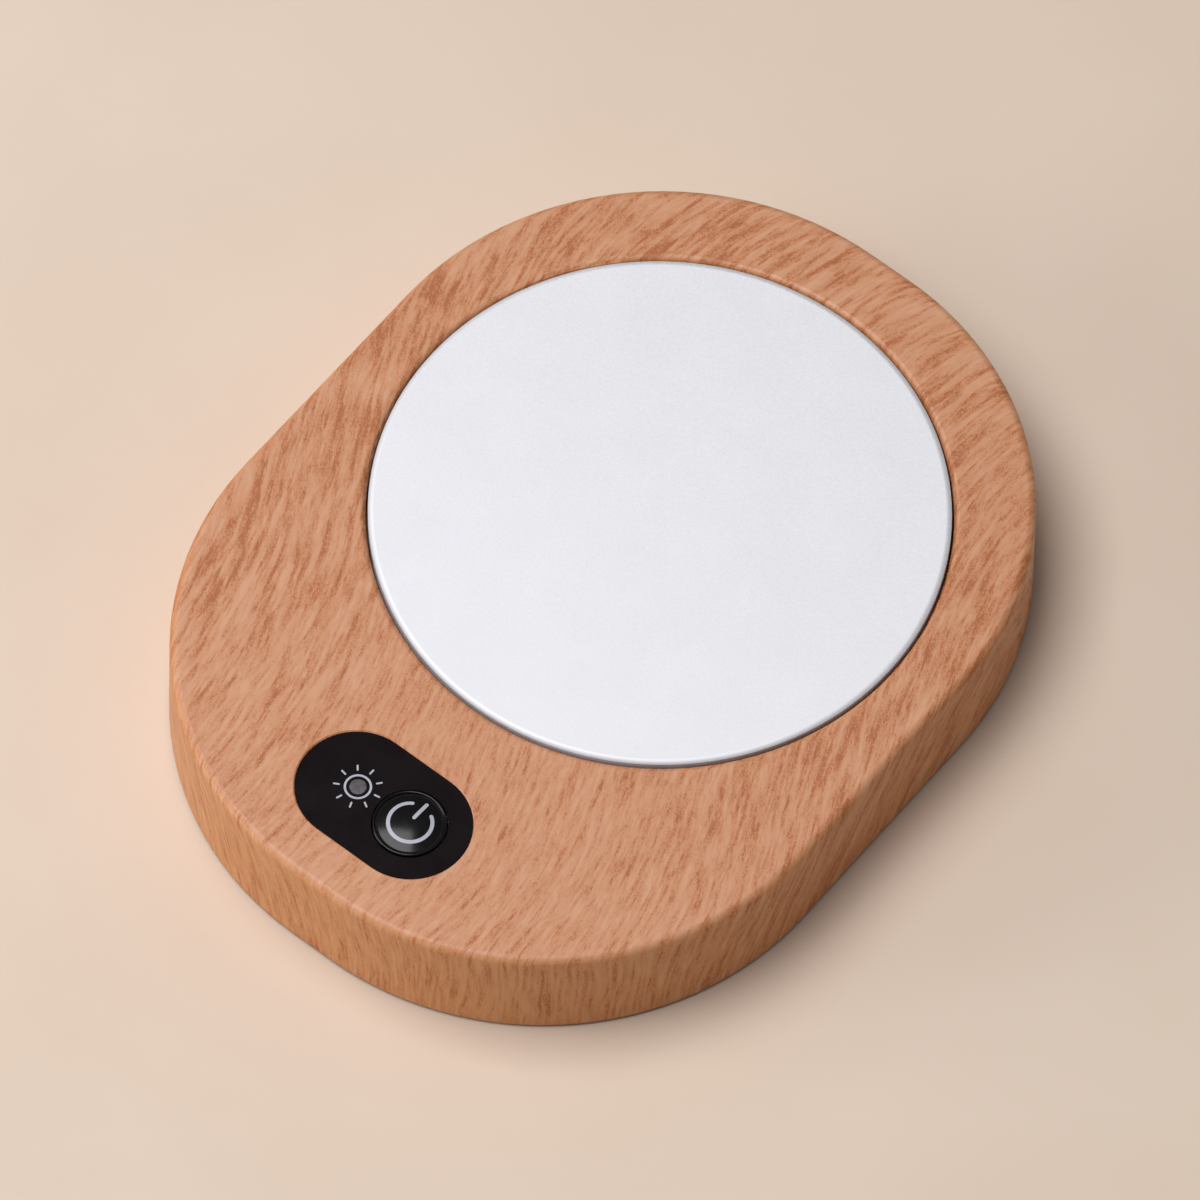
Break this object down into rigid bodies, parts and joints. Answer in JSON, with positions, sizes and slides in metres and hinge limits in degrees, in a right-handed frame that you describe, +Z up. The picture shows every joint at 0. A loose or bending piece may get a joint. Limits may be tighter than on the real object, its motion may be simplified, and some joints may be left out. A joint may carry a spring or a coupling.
{
  "type": "heated cup coaster",
  "caption": "Low wood-look heated coaster with a round aluminium hot plate for a mug and a small black control panel with a power button and a lamp.",
  "frame": {"origin": "under the middle of the casing, on the surface that the feet stand on", "axes": "+Z up, +Y towards the hot plate's end, -Y towards the control panel, +X to the right seen from the panel"},
  "size_m": [0.111, 0.143, 0.0201],
  "materials": {
    "casing_film": "satin wood-grain film",
    "base_plastic": "fine texture",
    "rubber": "matte",
    "steel": "zinc plated",
    "hot_plate": "fine satin, anodised",
    "silicone": "matte",
    "film": "amber film with a metal track",
    "fibre": "fibre felt",
    "ceramic": "sleeved",
    "black_gloss": "polished",
    "adhesive": "tape",
    "clear_plastic": "frosted",
    "board": "solder mask",
    "black_plastic": "moulded",
    "white_plastic": "moulded",
    "plated_metal": "tin plated",
    "wire_red": "soft sleeve",
    "wire_white": "soft sleeve",
    "wire_black": "soft sleeve"
  },
  "bodies": {
    "coaster": {"top_shell": "casing_film", "bottom_cover": "base_plastic", "foot_1": "rubber", "foot_2": "rubber", "foot_3": "rubber", "foot_4": "rubber", "cover_screws": "steel", "heating_plate": "hot_plate", "plate_gasket": "silicone", "heater_film": "film", "insulation_pad": "fibre", "clamp_plate": "steel", "clamp_screws": "steel", "thermal_fuse": "ceramic", "thermistor": "black_plastic", "control_overlay": "black_gloss", "overlay_adhesive": "adhesive", "light_guide": "clear_plastic", "control_board": "board", "board_screws": "steel", "indicator_lamp": "white_plastic", "switch_base": "black_plastic", "switch_cover": "plated_metal", "switch_dome": "plated_metal", "controller_chip": "black_plastic", "power_transistor": "black_plastic", "capacitors": "plated_metal", "resistors": "black_plastic", "board_terminal": "white_plastic", "inlet_board": "board", "inlet_screws": "steel", "inlet_terminal": "white_plastic", "socket_shell": "plated_metal", "socket_tongue": "black_plastic", "heater_leads": "wire_red", "sensor_leads": "wire_white", "power_leads": "wire_black"},
    "button": {"power_button": "black_gloss", "switch_plunger": "black_plastic"}
  },
  "joints": [
    {"name": "button_press", "type": "slide", "parent": "coaster", "child": "button", "axis": [0, 0, -1], "range_m": [0, 0.0004], "stiffness_N_per_m": 4000, "deforming": ["switch_dome"]}
  ]
}
